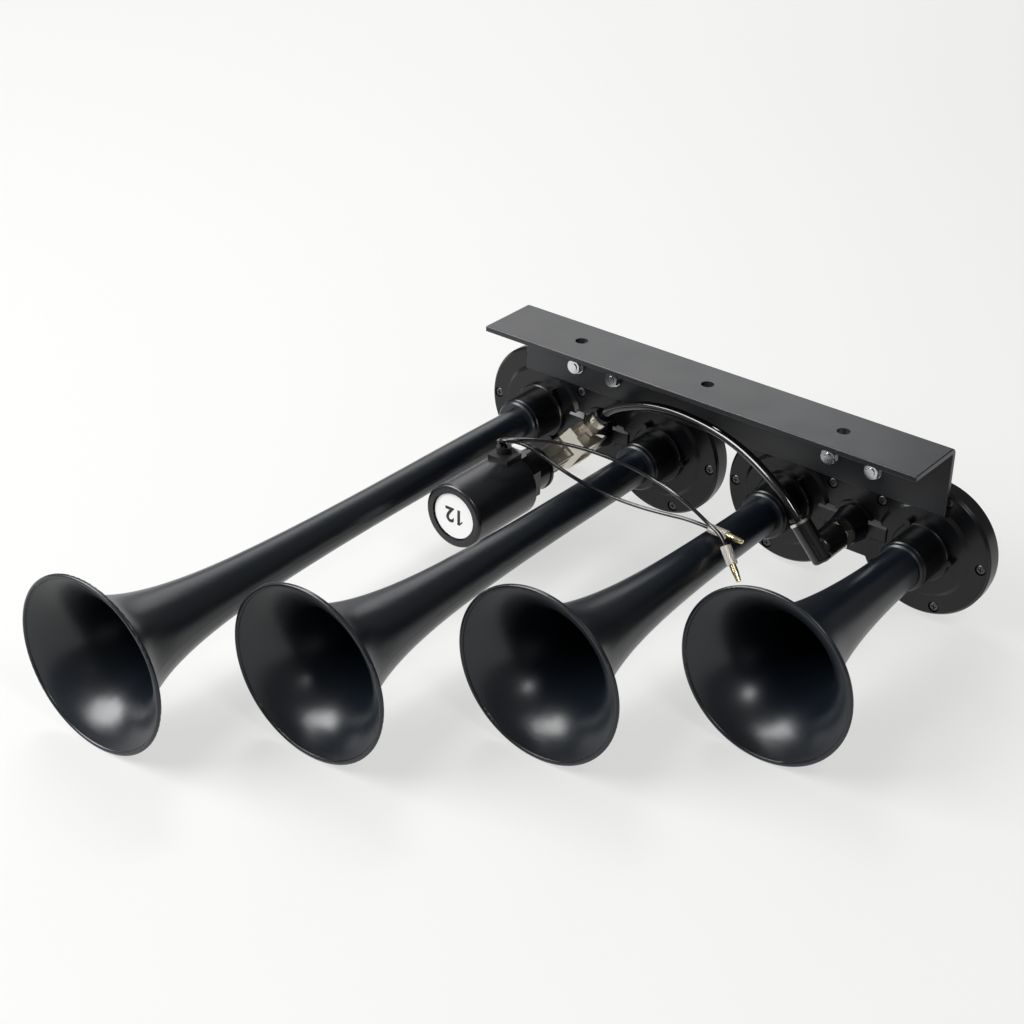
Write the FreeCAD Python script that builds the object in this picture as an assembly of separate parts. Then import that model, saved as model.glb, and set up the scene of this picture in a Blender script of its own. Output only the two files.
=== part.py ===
import FreeCAD, Part
import math
import os

# Train air horn: four trumpets in two twin housings on an angle bracket, with a solenoid valve.
# Millimetres. The origin is the centre mounting hole, on the bracket's top face. X runs along the
# bracket from the longest trumpet to the shortest, the bells face -Y, and +Z is up.

V = FreeCAD.Vector
UP = V(0, 0, 1)
RIGHT = V(1, 0, 0)
REAR = V(0, 1, 0)

# Angle bracket
bracket_length = 342.0
bracket_depth = 52.6
bracket_height = 50.4
bracket_thickness = 4.0
bracket_bend_radius = 5.0
bracket_edge_round = 0.7
bracket_seat_clearance = 0.3
mount_hole_setback = 28.2
mount_hole_radius = 4.5
mount_hole_spacing = 104.8

# Layout of the horns
pair_setback = 0.1
axis_drop = 81.0
bell_reach = [441.6, 366.1, 280.0, 194.1]

# Bracket bolts, washers and nuts
bolt_half_spacing = 16.4
bolt_shift = -4.0
bolt_drop = 34.0
bolt_radius = 3.0
bolt_clearance = 0.3
bolt_head_height = 4.0
bolt_head_across = 10.0
bolt_tip = 0.8
washer_radius = 6.2
washer_thickness = 1.1
nut_height = 3.6
nut_across = 10.0
nut_chamfer = 0.7

# Twin housing
disc_radius = 48.0
disc_gap = 8.9
disc_draft = 1.0
disc_depth = 9.5
disc_edge_round = 1.4
plateau_inset = 13.8
plateau_draft = 2.6
plateau_height = 2.0
hub_flange_radius = 20.8
hub_flange_height = 6.0
hub_radius = 17.4
hub_height = 29.0
hub_chamfer = 0.7
hub_lug_radius = 2.3
hub_lug_circle = 21.6
hub_lug_height = 4.4
hub_lug_count = 3
web_half_width = 17.0
web_low = 21.0
web_arc_radius = 18.5
ear_half_width = 27.0
ear_drop = 21.0
ear_corner_radius = 6.0
chamber_inset = 12.0
chamber_floor = 2.6
gallery_half_height = 7.6
gallery_reach = 3.4
gallery_chamfer = 3.0
gallery_half_length = 26.0
gallery_bore_radius = 3.2
gallery_bore_depth = 2.2
port_rise = 1.2
port_base_radius = 16.0
port_base_height = 1.6
port_boss_radius = 13.4
port_tip_radius = 10.8
port_height = 17.0
port_bore_radius = 6.6

# Rim screws, diaphragm stack and rear covers
rim_screw_count = 5
rim_screw_inset = 6.4
rim_screw_radius = 2.0
rim_screw_clearance = 0.2
rim_head_radius = 3.6
rim_head_height = 2.2
rim_head_side = 0.7
rim_recess_width = 0.9
rim_recess_length = 3.8
rim_recess_depth = 1.2
rim_seat_depth = 2.5
rim_seat_clearance = 0.3
gasket_thickness = 0.5
gasket_inset = 1.4
gasket_bore_margin = 1.0
diaphragm_thickness = 0.4
cover_inset = 0.8
cover_rim_depth = 4.8
cover_dome_margin = 0.5
cover_dome_height = 3.6
cover_wall = 2.6
cover_boss_radius = 9.0
cover_boss_height = 2.4

# Trumpets
trumpet_wall = 1.8
bell_radius = 59.5
lip_bead_radius = 1.5
tube_start_radius = 14.0
tube_taper = 0.0068
flare_radius = 32.8
flare_length = 53.5
lip_flare_length = 9.0
ring_radius = 16.6
ring_width = 3.6
ring_chamfer = 1.1
tail_radius = 13.2
nozzle_radius = 11.0
nozzle_bore_radius = 8.0
socket_clearance = 0.05
flare_stations_share = [0.0, 0.05, 0.12, 0.22, 0.36, 0.55, 0.78, 1.0]
flare_zone = 150.0

# Solenoid valve body, turned about the port's axis
valve_turn = 55.0
block_half_height = 11.0
block_top = 15.5
block_side_shift = 1.4
block_half_width = 9.6
block_length = 31.0
block_shoulder = 7.0
block_rib_start = -1.6
block_rib_end = 0.4
block_step = 0.8
pocket_depth = 2.2
pocket_margin = 3.2
neck_half = 8.6
neck_length = 29.0
neck_rib_depth = 1.6
neck_rib_margin = 2.6
spigot_length = 12.0
spigot_radius = 6.55
air_bore_radius = 3.0
orifice_radius = 2.2
orifice_length = 4.0
seat_ring_radius = 3.6
seat_ring_height = 1.0
inlet_radius = 5.9
inlet_depth = 6.6
inlet_setback = 21.5
feed_radius = 1.6
feed_offset = 6.0
outlet_thread_radius = 4.1
outlet_thread_depth = 6.4
outlet_setback = 5.2
outlet_bore_radius = 2.1
neck_thread_radius = 8.2
neck_thread_length = 7.0

# Plunger, guide tube and coil
guide_radius = 6.4
guide_wall = 0.8
guide_flange_radius = 7.4
guide_flange_length = 2.0
plunger_clearance = 0.08
plunger_travel = 2.5
plunger_length = 50.0
seal_radius = 4.2
seal_thickness = 2.0
spring_wire_radius = 0.4
spring_coil_radius = 2.6
spring_well_radius = 3.4
spring_well_depth = 14.0
core_well_depth = 3.0
coil_radius = 23.2
coil_front = 168.0
coil_length = 63.0
coil_round = 2.4
coil_recess_radius = 17.4
coil_recess_depth = 1.6
coil_wall = 2.0
coil_bore_clearance = 0.3
bobbin_wall = 1.6
label_radius = 16.4
label_thickness = 0.3
bonnet_hex_across = 32.0
bonnet_hex_length = 12.5
bonnet_ring_radius = 15.0
bonnet_rim_radius = 15.8
bonnet_rim_length = 2.2

# Terminal boot and leads
boot_x = 0.4
boot_setback = 8.4
boot_width = 17.0
boot_length = 15.5
boot_rise = 2.4
grommet_radius = 5.2
grommet_height = 4.2
grommet_offset = 2.4
grommet_neck_radius = 4.2
grommet_groove = 1.2
lead_radius = 1.3
lead_hole_clearance = 0.1
lead_half_gap = 1.6
lead_rise = 2.0
cover_tab_length = 6.5
cover_tab_width = 9.5
cover_tab_rise = 4.6
cover_tab_round = 1.0
sleeve_half_width = 3.9
sleeve_half_height = 2.8
sleeve_length = 13.0
bullet_radius = 2.25
bullet_neck_radius = 1.5
bullet_tip_radius = 1.7
bullet_length = 12.0
bullet_shank = 5.5
bullet_nose = 0.5

# Push-in fittings and the air tube
tube_radius = 3.175
tube_bore_radius = 2.1
tube_fit = 0.06
tube_lead_in = 6.0
tube_lead_out = 11.0
bend_share = 0.45
fitting_hex_across = 18.0
fitting_hex_height = 4.0
fitting_thread_length = 5.6
fitting_body_radius = 6.4
fitting_body_length = 8.1
fitting_chamfer = 0.8
fitting_stop = 1.5
collet_sleeve_radius = 4.3
collet_flange_radius = 6.1
collet_flange_length = 2.2
collet_travel = 1.2
collet_stop_gap = 0.05
collet_fit = 0.06
collet_depth = 6.0
seal_ring_radius = 1.1
elbow_turn = 132.0
elbow_hex_across = 19.0
elbow_hex_height = 8.0
elbow_thread_length = 11.0
elbow_post_radius = 4.4
elbow_gap = 0.3
elbow_radius = 10.0
elbow_body_length = 23.0
elbow_round = 3.0
elbow_barrel_radius = 7.0
elbow_barrel_tail = 9.0
elbow_barrel_round = 2.5
elbow_barrel_centre = 47.5
elbow_barrel_reach = 22.4
elbow_band_radius = 7.3
elbow_band_length = 2.0
elbow_stop = 10.0

# Worked out from the sizes above
disc_front_radius = disc_radius - disc_draft
plateau_radius = disc_radius - plateau_inset
plateau_top_radius = plateau_radius - plateau_draft
chamber_radius = disc_radius - chamber_inset
rim_screw_circle = disc_radius - rim_screw_inset
gasket_radius = disc_radius - gasket_inset
gasket_bore_radius = chamber_radius + gasket_bore_margin
diaphragm_radius = gasket_radius
cover_radius = disc_radius - cover_inset
cover_dome_radius = chamber_radius - cover_dome_margin
horn_half_pitch = disc_radius + disc_gap / 2
pair_offset = 2 * horn_half_pitch + pair_setback
face_y = mount_hole_setback
axis_z = -axis_drop
port_z = axis_z + port_rise
flange_front_y = face_y - bracket_thickness
disc_rear_y = face_y + disc_depth
gasket_rear_y = disc_rear_y + gasket_thickness
stack_rear_y = gasket_rear_y + diaphragm_thickness
port_y = face_y - port_height
block_front_y = port_y - block_length
neck_front_y = block_front_y - neck_length
coil_front_y = face_y - coil_front
coil_rear_y = coil_front_y + coil_length
coil_floor_y = coil_front_y + coil_recess_depth
boot_y = coil_front - coil_length + boot_setback
valve_x = -pair_offset
elbow_x = pair_offset
overrun = 1.0

os.makedirs("parts", exist_ok=True)


def save(node, shape):
    shape.exportStep("parts/%s.step" % node)
    solids = len(shape.Solids)
    print("%-18s %2d solids, valid %s, volume %.1f" % (node, solids, shape.isValid(), shape.Volume))


def join(shapes):
    """One shape from touching or crossing pieces, with shared faces removed."""
    result = shapes[0]
    for shape in shapes[1:]:
        result = result.fuse(shape)
    return result.removeSplitter()


def cut(shape, tools):
    for tool in tools:
        shape = shape.cut(tool)
    return shape


def group(shapes):
    return Part.makeCompound(shapes)


def line(start, end):
    return Part.LineSegment(start, end).toShape()


def rod(radius, start, end):
    """A cylinder from one point to another."""
    along = end - start
    return Part.makeCylinder(radius, along.Length, start, along)


def rod_y(radius, x, z, y_front, y_rear):
    return rod(radius, V(x, y_front, z), V(x, y_rear, z))


def block(x0, x1, y0, y1, z0, z1):
    return Part.makeBox(x1 - x0, y1 - y0, z1 - z0, V(x0, y0, z0))


def turned(profile, origin, axis):
    """Revolves (radius, distance) points about an axis through origin. A point with a third value
    is the middle of an arc between its neighbours."""
    side = UP.cross(axis)
    if side.Length == 0:
        side = V(1, 0, 0)
    side.normalize()

    def place(point):
        return origin + side * point[0] + axis * point[1]

    edges = []
    last = profile[0]
    middle = None
    for point in profile[1:] + [profile[0]]:
        if len(point) == 3:
            middle = point
            continue
        if middle is not None:
            edges.append(Part.Arc(place(last), place(middle), place(point)).toShape())
        else:
            edges.append(line(place(last), place(point)))
        middle = None
        last = point
    face = Part.Face(Part.Wire(edges))
    return face.revolve(origin, axis, 360)


def quarter(radius, centre_r, centre_d, sign_r, sign_d):
    """The middle point of a quarter arc, towards the signs given."""
    reach = radius * math.sqrt(0.5)
    return (centre_r + sign_r * reach, centre_d + sign_d * reach, "arc")


def hexagon(across, start, along, height):
    """A hexagonal bar with its flats across the given size."""
    corner = across / math.sqrt(3)
    side = UP.cross(along)
    if side.Length == 0:
        side = V(1, 0, 0)
    side.normalize()
    other = along.cross(side)
    points = []
    for k in range(7):
        turn = math.radians(60 * k + 30)
        points.append(start + side * (corner * math.cos(turn)) + other * (corner * math.sin(turn)))
    return Part.Face(Part.makePolygon(points)).extrude(along * height)


def chamfered_hexagon(across, start, along, height, chamfer):
    """A hexagonal bar whose corners are turned off at both ends, as on a nut."""
    corner = across / math.sqrt(3)
    flat = across / 2
    profile = [(0, 0), (flat, 0), (corner, chamfer), (corner, height - chamfer), (flat, height), (0, height)]
    return hexagon(across, start, along, height).common(turned(profile, start, along))


def horn_x(number):
    pair = -pair_offset if number < 2 else pair_offset
    side = -1 if number % 2 == 0 else 1
    return pair + side * horn_half_pitch


def screw_places(number):
    """Rim screws at equal turns, with one pointing away from the pair's middle."""
    side = -1 if number % 2 == 0 else 1
    places = []
    for k in range(rim_screw_count):
        turn = 2 * math.pi * k / rim_screw_count
        x = horn_x(number) + side * rim_screw_circle * math.cos(turn)
        places.append((x, axis_z + rim_screw_circle * math.sin(turn)))
    return places


# Angle bracket: bent plate with mounting holes on top and bolt holes in the hanging flange
def angle_bracket():
    half = bracket_length / 2
    inner = bracket_bend_radius - bracket_thickness
    y_back = face_y
    y_front = face_y - bracket_depth
    reach = bracket_bend_radius * (1 - math.sqrt(0.5))
    inset = bracket_thickness + inner * (1 - math.sqrt(0.5))
    corners = [
        V(-half, y_front, 0),
        V(-half, y_back - bracket_bend_radius, 0),
        V(-half, y_back - reach, -reach),
        V(-half, y_back, -bracket_bend_radius),
        V(-half, y_back, -bracket_height),
        V(-half, y_back - bracket_thickness, -bracket_height),
        V(-half, y_back - bracket_thickness, -bracket_bend_radius),
        V(-half, y_back - inset, -inset),
        V(-half, y_back - bracket_bend_radius, -bracket_thickness),
        V(-half, y_front, -bracket_thickness),
    ]
    edges = [
        line(corners[0], corners[1]),
        Part.Arc(corners[1], corners[2], corners[3]).toShape(),
        line(corners[3], corners[4]),
        line(corners[4], corners[5]),
        line(corners[5], corners[6]),
        Part.Arc(corners[6], corners[7], corners[8]).toShape(),
        line(corners[8], corners[9]),
        line(corners[9], corners[0]),
    ]
    plate = Part.Face(Part.Wire(edges)).extrude(V(bracket_length, 0, 0))
    cut_edges = [edge for edge in plate.Edges if is_sheared(edge, y_front)]
    plate = plate.makeFillet(bracket_edge_round, cut_edges)
    holes = []
    for k in (-1, 0, 1):
        x = k * mount_hole_spacing
        holes.append(rod(mount_hole_radius, V(x, 0, -bracket_thickness - overrun), V(x, 0, overrun)))
    for x in bolt_places():
        hole = bolt_radius + bolt_clearance
        holes.append(rod_y(hole, x, -bolt_drop, flange_front_y - overrun, face_y + overrun))
    return cut(plate, holes)


def is_sheared(edge, y_front):
    """The edges where the plate was cut: both ends, the front and the foot, but not the bend."""
    start, end = edge.Vertexes[0].Point, edge.Vertexes[-1].Point
    at_end = abs(start.x - end.x) < bracket_thickness
    at_front = max(start.y, end.y) < y_front + bracket_thickness / 2
    at_foot = max(start.z, end.z) < bracket_thickness / 2 - bracket_height
    return at_end or at_front or at_foot


def bolt_places():
    middles = (bolt_shift - pair_offset, bolt_shift + pair_offset)
    return [middle + side * bolt_half_spacing for middle in middles for side in (-1, 1)]


# Bolts through the housings' ears and the bracket, each with two washers and a nut in front
def bracket_fasteners():
    bolts = []
    washers = []
    nuts = []
    front_seat = flange_front_y - washer_thickness
    rear_seat = disc_rear_y + washer_thickness
    for x in bolt_places():
        tip = front_seat - nut_height - bolt_tip
        shank = rod_y(bolt_radius, x, -bolt_drop, tip, rear_seat)
        head_seat = V(x, rear_seat, -bolt_drop)
        head = chamfered_hexagon(bolt_head_across, head_seat, REAR, bolt_head_height, nut_chamfer)
        bolts.append(join([shank, head]))
        bore = bolt_radius + socket_clearance
        for y in (front_seat, disc_rear_y):
            end = y + washer_thickness
            plate = rod_y(washer_radius, x, -bolt_drop, y, end)
            washers.append(plate.cut(rod_y(bore, x, -bolt_drop, y - overrun, end + overrun)))
        y = front_seat - nut_height
        nut = chamfered_hexagon(nut_across, V(x, y, -bolt_drop), REAR, nut_height, nut_chamfer)
        nuts.append(nut.cut(rod_y(bore, x, -bolt_drop, y - overrun, front_seat + overrun)))
    save("bracket_bolts", group(bolts))
    save("bracket_washers", group(washers))
    save("bracket_nuts", group(nuts))


# Twin housing: two discs with hubs, joined by a web with the air port and its gallery
def disc_solid(x):
    profile = [
        (0, 0),
        (disc_front_radius - disc_edge_round, 0),
        quarter(disc_edge_round, disc_front_radius - disc_edge_round, disc_edge_round, 1, -1),
        (disc_front_radius, disc_edge_round),
        (disc_radius, disc_edge_round + disc_draft),
        (disc_radius, disc_depth),
        (0, disc_depth),
    ]
    disc = turned(profile, V(x, face_y, axis_z), REAR)
    plateau = [(0, 0), (plateau_radius, 0), (plateau_top_radius, plateau_height), (0, plateau_height)]
    plateau_solid = turned(plateau, V(x, face_y, axis_z), -REAR)
    hub = [
        (0, 0),
        (hub_flange_radius, 0),
        (hub_flange_radius, hub_flange_height - hub_chamfer),
        (hub_flange_radius - hub_chamfer, hub_flange_height),
        (hub_radius, hub_flange_height),
        (hub_radius, hub_height - hub_chamfer),
        (hub_radius - hub_chamfer, hub_height),
        (0, hub_height),
    ]
    return [disc, plateau_solid, turned(hub, V(x, face_y, axis_z), -REAR)]


def hub_lugs(number):
    side = -1 if number % 2 == 0 else 1
    lugs = []
    for k in range(hub_lug_count):
        turn = 2 * math.pi * k / hub_lug_count
        x = horn_x(number) + side * hub_lug_circle * math.cos(turn)
        z = axis_z + hub_lug_circle * math.sin(turn)
        lugs.append(rod_y(hub_lug_radius, x, z, face_y - plateau_height - hub_lug_height, face_y))
    return lugs


def twin_housing(first):
    middle = (horn_x(first) + horn_x(first + 1)) / 2
    pieces = disc_solid(horn_x(first)) + disc_solid(horn_x(first + 1))
    web_x = (middle - web_half_width, middle + web_half_width)
    web = block(web_x[0], web_x[1], face_y, disc_rear_y, axis_z - web_low, -ear_drop)
    ear_x = middle + bolt_shift
    ear = block(ear_x - ear_half_width, ear_x + ear_half_width, face_y, disc_rear_y, axis_z, -ear_drop)
    upright = [edge for edge in ear.Edges if is_ear_corner(edge)]
    pieces += [web, ear.makeFillet(ear_corner_radius, upright)]
    pieces.append(gallery(middle))
    port = [
        (0, 0),
        (port_base_radius, 0),
        (port_base_radius, port_base_height),
        (port_boss_radius, port_base_height),
        (port_tip_radius, port_height),
        (0, port_height),
    ]
    pieces.append(turned(port, V(middle, face_y, port_z), -REAR))
    for number in (first, first + 1):
        pieces += hub_lugs(number)
    solid = join(pieces)
    arc_z = axis_z - web_low - web_arc_radius
    tools = [rod_y(web_arc_radius, middle, arc_z, face_y - overrun, disc_rear_y + overrun)]
    seat_low = -bracket_height - bracket_seat_clearance
    seat_front = face_y - plateau_height - overrun
    seat_x = (horn_x(first) - plateau_radius, horn_x(first + 1) + plateau_radius)
    tools.append(block(seat_x[0], seat_x[1], seat_front, face_y, seat_low, 0))
    for number in (first, first + 1):
        x = horn_x(number)
        tools.append(rod_y(chamber_radius, x, axis_z, face_y + chamber_floor, disc_rear_y + overrun))
        tools.append(rod_y(tail_radius + socket_clearance, x, axis_z, face_y - hub_height - overrun, face_y))
        tools.append(rod_y(nozzle_radius + socket_clearance, x, axis_z, face_y - overrun, disc_rear_y))
        for sx, sz in screw_places(number):
            hole = rim_screw_radius + rim_screw_clearance
            tools.append(rod_y(hole, sx, sz, face_y - overrun, disc_rear_y + overrun))
            seat = rim_head_radius + rim_seat_clearance
            tools.append(rod_y(seat, sx, sz, face_y - overrun, face_y + rim_seat_depth))
    for x in bolt_places():
        if abs(x - middle) < horn_half_pitch:
            hole = bolt_radius + bolt_clearance
            tools.append(rod_y(hole, x, -bolt_drop, face_y - overrun, disc_rear_y + overrun))
    gallery_y = face_y + gallery_bore_depth
    tools.append(rod_y(port_bore_radius, middle, port_z, port_y - overrun, gallery_y))
    inner = horn_half_pitch - chamber_radius + overrun
    passage = (V(middle - inner, gallery_y, port_z), V(middle + inner, gallery_y, port_z))
    tools.append(rod(gallery_bore_radius, passage[0], passage[1]))
    return cut(solid, tools)


def is_ear_corner(edge):
    """The two long edges at the top corners of the ear, which run front to rear."""
    start, end = edge.Vertexes[0].Point, edge.Vertexes[-1].Point
    runs_rear = abs(start.y - end.y) > disc_depth / 2
    return runs_rear and start.z > -ear_drop - ear_corner_radius


def gallery(middle):
    """The bar over the air passage between the two chambers, with its front edges sloped."""
    x = middle - gallery_half_length
    half = gallery_half_height
    front = face_y - gallery_reach
    rear = face_y + overrun
    points = [
        V(x, rear, port_z - half),
        V(x, front + gallery_chamfer, port_z - half),
        V(x, front, port_z - half + gallery_chamfer),
        V(x, front, port_z + half - gallery_chamfer),
        V(x, front + gallery_chamfer, port_z + half),
        V(x, rear, port_z + half),
    ]
    outline = Part.Face(Part.makePolygon(points + points[:1]))
    return outline.extrude(V(2 * gallery_half_length, 0, 0))


# Diaphragm stack behind each disc, and the cover that clamps it
def stack_holes(number, y_front, y_rear):
    hole = rim_screw_radius + rim_screw_clearance
    return [rod_y(hole, x, z, y_front - overrun, y_rear + overrun) for x, z in screw_places(number)]


def gasket(number):
    x = horn_x(number)
    ring = rod_y(gasket_radius, x, axis_z, disc_rear_y, gasket_rear_y)
    bore = rod_y(gasket_bore_radius, x, axis_z, disc_rear_y - overrun, gasket_rear_y + overrun)
    return cut(ring, [bore] + stack_holes(number, disc_rear_y, gasket_rear_y))


def diaphragm(number):
    plate = rod_y(diaphragm_radius, horn_x(number), axis_z, gasket_rear_y, stack_rear_y)
    return cut(plate, stack_holes(number, gasket_rear_y, stack_rear_y))


def rear_cover(number):
    crown = cover_rim_depth + cover_dome_height
    slope = cover_dome_radius - cover_dome_height
    outer = [
        (0, 0),
        (cover_radius, 0),
        (cover_radius, cover_rim_depth - cover_wall / 2),
        (cover_radius - cover_wall / 2, cover_rim_depth),
        (cover_dome_radius, cover_rim_depth),
        (slope, crown),
        (cover_boss_radius, crown),
        (cover_boss_radius, crown + cover_boss_height),
        (0, crown + cover_boss_height),
    ]
    hollow = [
        (0, -overrun),
        (gasket_bore_radius, -overrun),
        (gasket_bore_radius - cover_wall / 2, cover_rim_depth - cover_wall / 2),
        (slope - cover_wall, crown - cover_wall),
        (0, crown - cover_wall),
    ]
    origin = V(horn_x(number), stack_rear_y, axis_z)
    cover = turned(outer, origin, REAR).cut(turned(hollow, origin, REAR))
    threads = []
    for x, z in screw_places(number):
        hole = rim_screw_radius + socket_clearance
        threads.append(rod_y(hole, x, z, stack_rear_y - overrun, stack_rear_y + cover_rim_depth + overrun))
    return cut(cover, threads)


# Pan-head screws from the front, through the housing and the stack into the cover
def rim_screws():
    screws = []
    for number in range(len(bell_reach)):
        for x, z in screw_places(number):
            tip = stack_rear_y + cover_rim_depth
            seat_y = face_y + rim_seat_depth
            shank = rod_y(rim_screw_radius, x, z, seat_y, tip)
            crown = rim_head_height - rim_head_side
            head_profile = [
                (0, 0),
                (rim_head_radius, 0),
                (rim_head_radius, rim_head_side),
                quarter(crown, rim_head_radius - crown, rim_head_side, 1, 1),
                (rim_head_radius - crown, rim_head_height),
                (0, rim_head_height),
            ]
            head = turned(head_profile, V(x, seat_y, z), -REAR)
            y0 = seat_y - rim_head_height - overrun
            y1 = seat_y - rim_head_height + rim_recess_depth
            long = rim_recess_length / 2
            thin = rim_recess_width / 2
            slots = [block(x - long, x + long, y0, y1, z - thin, z + thin)]
            slots.append(block(x - thin, x + thin, y0, y1, z - long, z + long))
            screws.append(cut(join([shank, head]), slots))
    return group(screws)


# Trumpet: flared bell, slow taper, ring against the hub, tail and nozzle up to the diaphragm
def flare(distance):
    """Outer radius at a distance behind the bell's lip."""
    lip_flare_radius = bell_radius - tube_start_radius - flare_radius
    wide = flare_radius * math.exp(-distance / flare_length)
    lip = lip_flare_radius * math.exp(-distance / lip_flare_length)
    return tube_start_radius - tube_taper * distance + wide + lip


def trumpet(number):
    origin = V(horn_x(number), face_y - bell_reach[number], axis_z)
    ring_front = bell_reach[number] - hub_height - ring_width
    ring_rear = bell_reach[number] - hub_height
    stations = [share * flare_zone for share in flare_stations_share if share * flare_zone < ring_front]
    if ring_front - stations[-1] > flare_zone / 2:
        stations.append((stations[-1] + ring_front) / 2)
    stations.append(ring_front)
    outer = [V(flare(s) + origin.x, origin.y + s, axis_z) for s in stations]
    inner = [V(flare(s) - trumpet_wall + origin.x, origin.y + s, axis_z) for s in stations]
    tail_end = bell_reach[number] + disc_depth + gasket_thickness

    def place(radius, distance):
        return V(origin.x + radius, origin.y + distance, axis_z)

    outer_curve = Part.BSplineCurve()
    outer_curve.interpolate(outer)
    inner_curve = Part.BSplineCurve()
    inner_curve.interpolate(inner)
    steps = [
        outer[-1],
        place(ring_radius - ring_chamfer, ring_front),
        place(ring_radius, ring_front + ring_chamfer),
        place(ring_radius, ring_rear),
        place(tail_radius, ring_rear),
        place(tail_radius, bell_reach[number]),
        place(nozzle_radius, bell_reach[number]),
        place(nozzle_radius, tail_end),
        place(nozzle_bore_radius, tail_end),
        place(nozzle_bore_radius, ring_rear),
        inner[-1],
    ]
    edges = [outer_curve.toShape()]
    edges += [line(a, b) for a, b in zip(steps, steps[1:])]
    edges.append(inner_curve.toShape())
    edges.append(line(inner[0], outer[0]))
    face = Part.Face(Part.Wire(Part.__sortEdges__(edges)))
    horn = face.revolve(V(origin.x, 0, axis_z), REAR, 360)
    bead_centre = V(origin.x + bell_radius - lip_bead_radius, origin.y + lip_bead_radius / 2, axis_z)
    bead_edge = Part.makeCircle(lip_bead_radius, bead_centre, UP)
    bead = Part.Face(Part.Wire([bead_edge])).revolve(V(origin.x, 0, axis_z), REAR, 360)
    return join([horn, bead])


# Solenoid valve: places measured along its own turned directions
def valve_directions():
    turn = math.radians(valve_turn)
    outward = V(math.cos(turn), 0, math.sin(turn))
    across = V(math.sin(turn), 0, -math.cos(turn))
    return outward, across


def valve_point(out, side, y):
    outward, across = valve_directions()
    return V(valve_x, y, port_z) + outward * out + across * side


def valve_box(out0, out1, side0, side1, y0, y1):
    """A box between limits along the valve's outward direction, across it and along Y."""
    corners = [(out0, side0), (out1, side0), (out1, side1), (out0, side1), (out0, side0)]
    wire = Part.makePolygon([valve_point(out, side, y0) for out, side in corners])
    return Part.Face(wire).extrude(V(0, y1 - y0, 0))


def valve_rod(radius, out0, out1, y):
    return rod(radius, valve_point(out0, 0, y), valve_point(out1, 0, y))


def block_sides():
    """The block's two sides, across the valve's axis: the casting sits a little to the right."""
    return block_side_shift - block_half_width, block_side_shift + block_half_width


def valve_casting():
    """Block with shoulders towards the neck, a tall side for the outlet, a thread and a spigot."""
    left, right = block_sides()
    shoulder_y = block_front_y + block_shoulder
    rows = [
        (-block_half_height, port_y),
        (block_top, port_y),
        (block_top, shoulder_y),
        (neck_half, block_front_y),
        (-neck_half, block_front_y),
        (-block_half_height, shoulder_y),
    ]
    corners = [valve_point(out, left, y) for out, y in rows]
    across = valve_directions()[1] * (right - left)
    side_on = Part.Face(Part.makePolygon(corners + corners[:1])).extrude(across)
    rows = [
        (left, port_y),
        (right, port_y),
        (right, shoulder_y),
        (neck_half, block_front_y),
        (-neck_half, block_front_y),
        (left, shoulder_y),
    ]
    corners = [valve_point(-block_half_height, side, y) for side, y in rows]
    tall = block_half_height + block_top
    from_above = Part.Face(Part.makePolygon(corners + corners[:1])).extrude(valve_directions()[0] * tall)
    neck = valve_box(-neck_half, neck_half, -neck_half, neck_half, neck_front_y, block_front_y)
    thread = rod_y(neck_thread_radius, valve_x, port_z, neck_front_y - neck_thread_length, neck_front_y)
    spigot = rod_y(spigot_radius - socket_clearance, valve_x, port_z, port_y, port_y + spigot_length)
    return join([side_on.common(from_above), neck, thread, spigot])


def valve_pockets():
    """Recesses that the casting leaves beside its ribs."""
    left, right = block_sides()
    y0 = block_front_y + block_shoulder
    y1 = port_y - outlet_setback - fitting_hex_across / 2
    high = block_top + overrun
    tools = [valve_box(block_top - pocket_depth, high, left + pocket_margin, block_rib_start, y0, y1)]
    step, far = block_top - block_step, right + overrun
    tools.append(valve_box(step, high, block_rib_end, far, y0 - overrun, port_y + overrun))
    low, top = -block_half_height + pocket_margin, block_top - 2 * pocket_margin
    tools.append(valve_box(low, top, right - pocket_depth, far, y0, port_y - pocket_margin))
    tools.append(valve_box(low, top, left - overrun, left + pocket_depth, y0, port_y - pocket_margin))
    rib_y0 = neck_front_y + neck_rib_margin
    rib_y1 = block_front_y - neck_rib_margin
    inner = neck_half - neck_rib_depth
    outer = neck_half + overrun
    near, end = neck_rib_margin / 2, neck_half - neck_rib_margin / 2
    for low, top in ((near, end), (-end, -near)):
        tools.append(valve_box(inner, outer, low, top, rib_y0, rib_y1))
        tools.append(valve_box(low, top, inner, outer, rib_y0, rib_y1))
        tools.append(valve_box(low, top, -outer, -inner, rib_y0, rib_y1))
    return tools


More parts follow.
